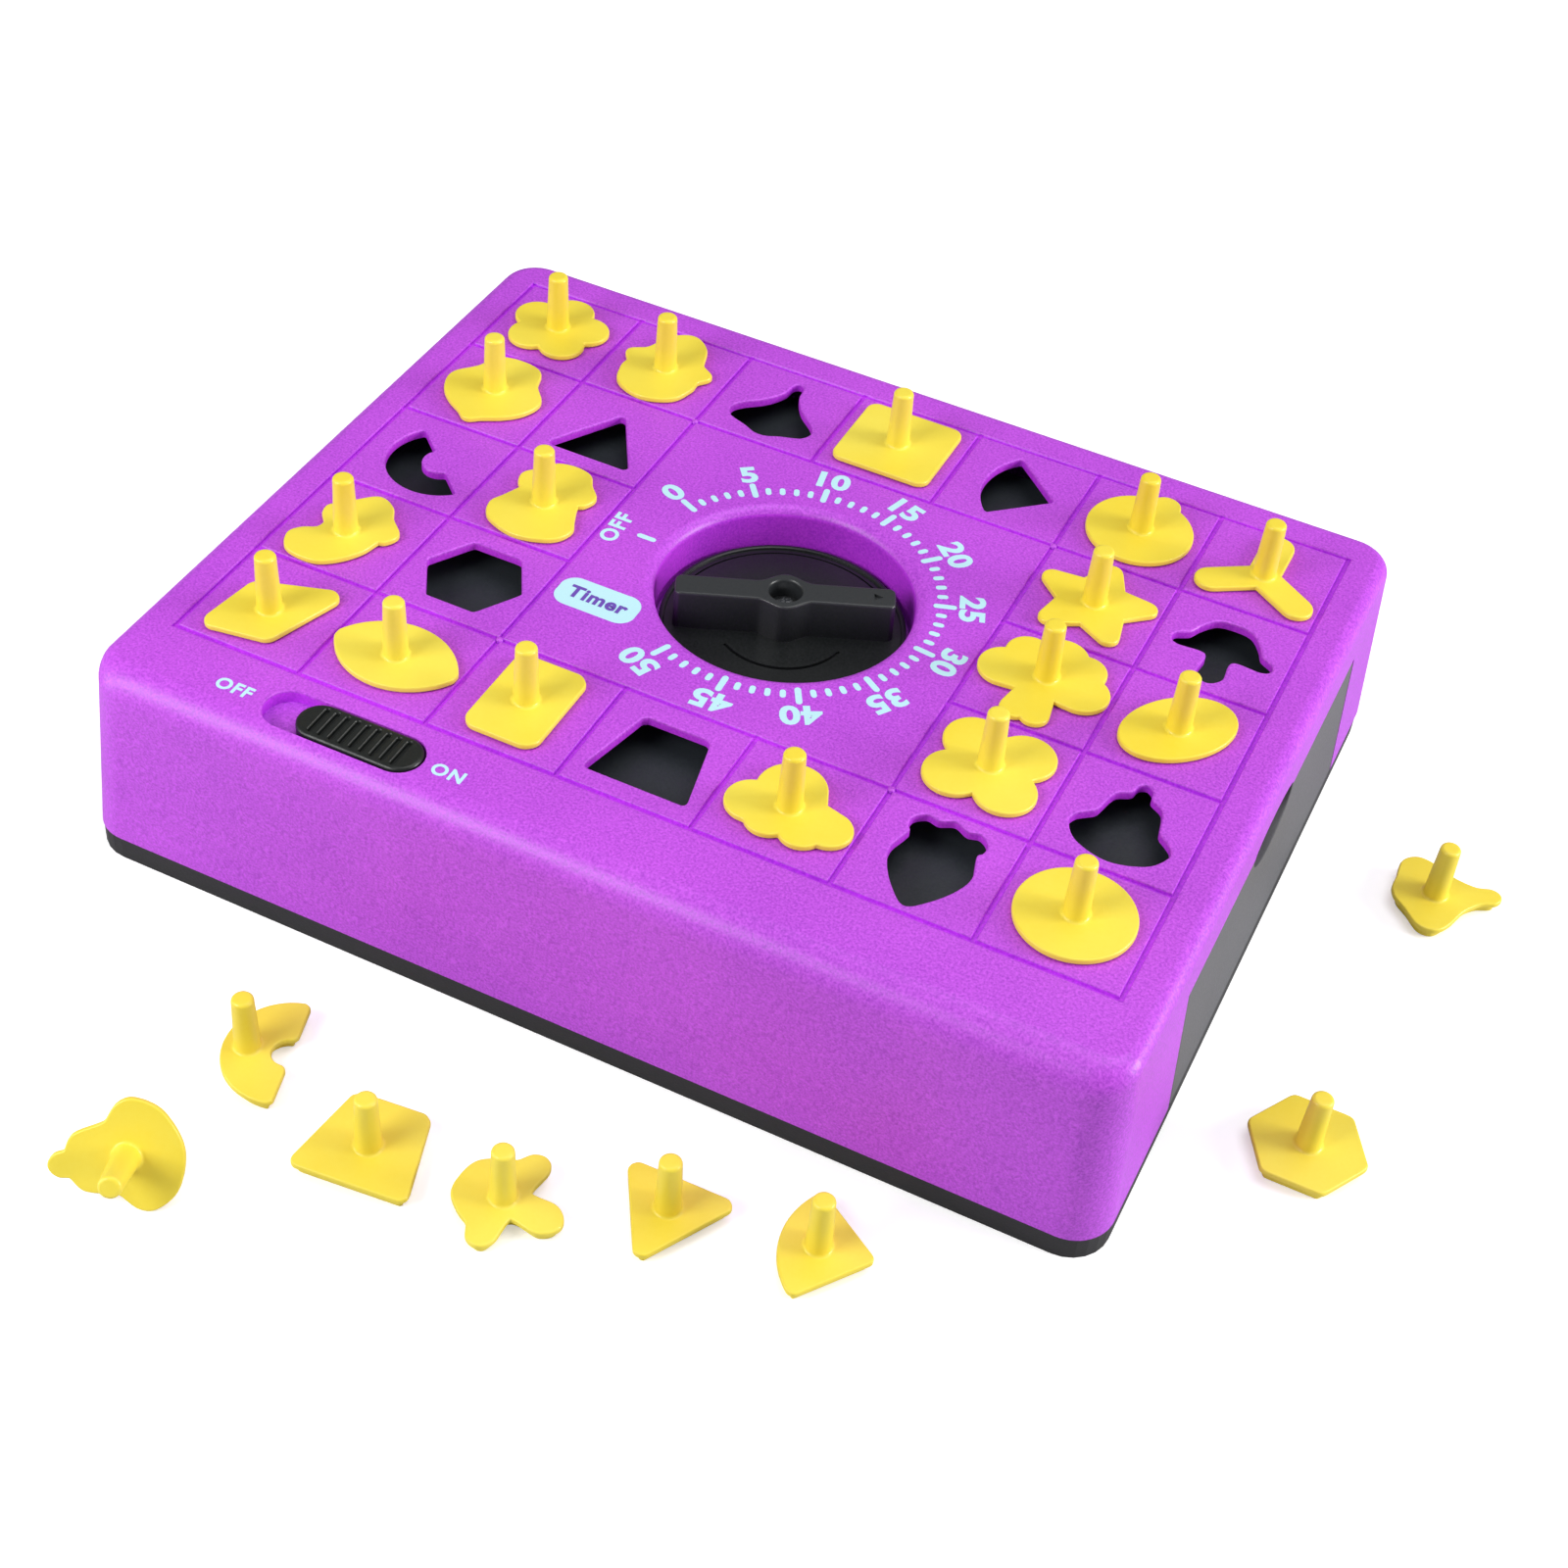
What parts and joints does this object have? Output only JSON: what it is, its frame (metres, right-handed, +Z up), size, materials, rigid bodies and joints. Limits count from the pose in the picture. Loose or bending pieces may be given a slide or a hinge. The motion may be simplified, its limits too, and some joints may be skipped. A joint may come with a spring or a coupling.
{
  "type": "pop-up shape timer game",
  "caption": "Pop-up shape timer game: a purple board of shaped holes with yellow knobbed pieces, a dial timer in the middle, an on/off switch and a storage drawer.",
  "frame": {"origin": "point of the dial's axis on the flat underside of the base, which rests on the table", "axes": "+Z up out of the board, +X to the drawer's side, +Y to the back, away from the switch"},
  "size_m": [0.2793, 0.2684, 0.0658],
  "materials": {
    "purple_plastic": "bright purple moulded plastic with a fine matt grain",
    "yellow_plastic": "satin yellow moulded plastic",
    "black_plastic": "satin black moulded plastic",
    "grey_plastic": "mid grey moulded plastic",
    "steel": "bright steel",
    "brass": "stamped brass"
  },
  "bodies": {
    "housing": {"top_housing": "purple_plastic", "base_plate": "black_plastic", "base_screw_1": "steel", "base_screw_2": "steel", "base_screw_3": "steel", "base_screw_4": "steel", "guide_pin_1": "steel", "guide_pin_2": "steel", "guide_pin_3": "steel", "guide_pin_4": "steel", "lift_spring_1": "steel", "lift_spring_2": "steel", "lift_spring_3": "steel", "lift_spring_4": "steel", "latch_pin": "steel", "timer_plate_upper": "brass", "timer_plate_lower": "brass", "timer_screw_1": "steel", "timer_screw_2": "steel", "drawer_runner_1": "black_plastic", "drawer_runner_2": "black_plastic"},
    "ejector": {"ejector_plate": "black_plastic"},
    "latch": {"latch_lever": "steel"},
    "dial": {"dial_knob": "black_plastic", "dial_screw": "steel", "timer_shaft": "steel", "mainspring_barrel": "brass", "centre_wheel": "brass", "trip_cam": "black_plastic"},
    "third_arbor": {"third_wheel": "brass"},
    "escape_arbor": {"escape_wheel": "brass"},
    "pallet": {"pallet_lever": "steel"},
    "switch": {"switch_slider": "black_plastic", "switch_link": "black_plastic"},
    "drawer": {"storage_drawer": "grey_plastic"},
    "shape_flower": {"piece_flower": "yellow_plastic"},
    "shape_bell": {"piece_bell": "yellow_plastic"},
    "shape_square": {"piece_square": "yellow_plastic"},
    "shape_apple": {"piece_apple": "yellow_plastic"},
    "shape_spokes": {"piece_spokes": "yellow_plastic"},
    "shape_peach": {"piece_peach": "yellow_plastic"},
    "shape_star": {"piece_star": "yellow_plastic"},
    "shape_gourd": {"piece_gourd": "yellow_plastic"},
    "shape_tree": {"piece_tree": "yellow_plastic"},
    "shape_egg": {"piece_egg": "yellow_plastic"},
    "shape_eggplant": {"piece_eggplant": "yellow_plastic"},
    "shape_clover": {"piece_clover": "yellow_plastic"},
    "shape_kite": {"piece_kite": "yellow_plastic"},
    "shape_lens": {"piece_lens": "yellow_plastic"},
    "shape_rectangle": {"piece_rectangle": "yellow_plastic"},
    "shape_cloud": {"piece_cloud": "yellow_plastic"},
    "shape_circle": {"piece_circle": "yellow_plastic"},
    "shape_half_ring": {"piece_half_ring": "yellow_plastic"},
    "shape_trapezoid": {"piece_trapezoid": "yellow_plastic"},
    "shape_mushroom": {"piece_mushroom": "yellow_plastic"},
    "shape_triangle": {"piece_triangle": "yellow_plastic"},
    "shape_sector": {"piece_sector": "yellow_plastic"},
    "shape_hexagon": {"piece_hexagon": "yellow_plastic"},
    "shape_onion": {"piece_onion": "yellow_plastic"},
    "shape_bulb": {"piece_bulb": "yellow_plastic"}
  },
  "joints": [
    {"name": "ejector_lift", "type": "slide", "parent": "housing", "child": "ejector", "axis": [0, 0, 1], "range_m": [0, 0.005], "deforming": ["lift_spring_1", "lift_spring_2", "lift_spring_3", "lift_spring_4"]},
    {"name": "latch_turn", "type": "hinge", "parent": "housing", "child": "latch", "pos_m": [0, -0.0835, 0.022], "axis": [1, 0, 0], "range_deg": [-4, 0], "stiffness_Nm_per_rad": 0.5},
    {"name": "dial_turn", "type": "hinge", "parent": "housing", "child": "dial", "pos_m": [0, 0, 0.0404], "axis": [0, 0, 1], "range_deg": [-138, 155]},
    {"name": "third_spin", "type": "hinge", "parent": "housing", "child": "third_arbor", "pos_m": [-0.02, 0, 0.021], "axis": [0, 0, 1], "range_deg": [-625, 560]},
    {"name": "escape_spin", "type": "hinge", "parent": "housing", "child": "escape_arbor", "pos_m": [-0.01538, 0.01269, 0.0245], "axis": [0, 0, 1], "range_deg": [-2220, 2490]},
    {"name": "pallet_rock", "type": "hinge", "parent": "housing", "child": "pallet", "pos_m": [-0.00619, 0.0204, 0.0245], "axis": [0, 0, 1], "range_deg": [-6, 6]},
    {"name": "switch_slide", "type": "slide", "parent": "housing", "child": "switch", "axis": [1, 0, 0], "range_m": [-0.0075, 0]},
    {"name": "drawer_slide", "type": "slide", "parent": "housing", "child": "drawer", "axis": [1, 0, 0], "range_m": [0, 0.075]},
    {"name": "flower_lift", "type": "slide", "parent": "ejector", "child": "shape_flower", "axis": [0, 0, 1], "range_m": [0, 0.04]},
    {"name": "bell_lift", "type": "slide", "parent": "ejector", "child": "shape_bell", "axis": [0, 0, 1], "range_m": [0, 0.04]},
    {"name": "square_lift", "type": "slide", "parent": "ejector", "child": "shape_square", "axis": [0, 0, 1], "range_m": [0, 0.04]},
    {"name": "apple_lift", "type": "slide", "parent": "ejector", "child": "shape_apple", "axis": [0, 0, 1], "range_m": [0, 0.04]},
    {"name": "spokes_lift", "type": "slide", "parent": "ejector", "child": "shape_spokes", "axis": [0, 0, 1], "range_m": [0, 0.04]},
    {"name": "peach_lift", "type": "slide", "parent": "ejector", "child": "shape_peach", "axis": [0, 0, 1], "range_m": [0, 0.04]},
    {"name": "star_lift", "type": "slide", "parent": "ejector", "child": "shape_star", "axis": [0, 0, 1], "range_m": [0, 0.04]},
    {"name": "gourd_lift", "type": "slide", "parent": "ejector", "child": "shape_gourd", "axis": [0, 0, 1], "range_m": [0, 0.04]},
    {"name": "tree_lift", "type": "slide", "parent": "ejector", "child": "shape_tree", "axis": [0, 0, 1], "range_m": [0, 0.04]},
    {"name": "egg_lift", "type": "slide", "parent": "ejector", "child": "shape_egg", "axis": [0, 0, 1], "range_m": [0, 0.04]},
    {"name": "eggplant_lift", "type": "slide", "parent": "ejector", "child": "shape_eggplant", "axis": [0, 0, 1], "range_m": [0, 0.04]},
    {"name": "clover_lift", "type": "slide", "parent": "ejector", "child": "shape_clover", "axis": [0, 0, 1], "range_m": [0, 0.04]},
    {"name": "kite_lift", "type": "slide", "parent": "ejector", "child": "shape_kite", "axis": [0, 0, 1], "range_m": [0, 0.04]},
    {"name": "lens_lift", "type": "slide", "parent": "ejector", "child": "shape_lens", "axis": [0, 0, 1], "range_m": [0, 0.04]},
    {"name": "rectangle_lift", "type": "slide", "parent": "ejector", "child": "shape_rectangle", "axis": [0, 0, 1], "range_m": [0, 0.04]},
    {"name": "cloud_lift", "type": "slide", "parent": "ejector", "child": "shape_cloud", "axis": [0, 0, 1], "range_m": [0, 0.04]},
    {"name": "circle_lift", "type": "slide", "parent": "ejector", "child": "shape_circle", "axis": [0, 0, 1], "range_m": [0, 0.04]},
    {"name": "half_ring_lift", "type": "slide", "parent": "housing", "child": "shape_half_ring", "axis": [0, 0, 1], "range_m": [0, 0.04]},
    {"name": "trapezoid_lift", "type": "slide", "parent": "housing", "child": "shape_trapezoid", "axis": [0, 0, 1], "range_m": [0, 0.04]},
    {"name": "mushroom_lift", "type": "slide", "parent": "housing", "child": "shape_mushroom", "axis": [0, 0, 1], "range_m": [0, 0.04]},
    {"name": "triangle_lift", "type": "slide", "parent": "housing", "child": "shape_triangle", "axis": [0, 0, 1], "range_m": [0, 0.04]},
    {"name": "sector_lift", "type": "slide", "parent": "housing", "child": "shape_sector", "axis": [0, 0, 1], "range_m": [0, 0.04]},
    {"name": "hexagon_push", "type": "slide", "parent": "housing", "child": "shape_hexagon", "axis": [1, 0, 0], "range_m": [0, 0.0751]},
    {"name": "onion_push", "type": "slide", "parent": "housing", "child": "shape_onion", "axis": [1, 0, 0], "range_m": [0, 0.0751]},
    {"name": "bulb_lift", "type": "slide", "parent": "housing", "child": "shape_bulb", "axis": [0, 0, 1], "range_m": [0, 0.04]}
  ],
  "couplings": [
    {"joint": "third_spin", "follows": "dial_turn", "ratio": -4},
    {"joint": "escape_spin", "follows": "dial_turn", "ratio": 16},
    {"joint": "hexagon_push", "follows": "drawer_slide", "ratio": 1},
    {"joint": "onion_push", "follows": "drawer_slide", "ratio": 1}
  ]
}
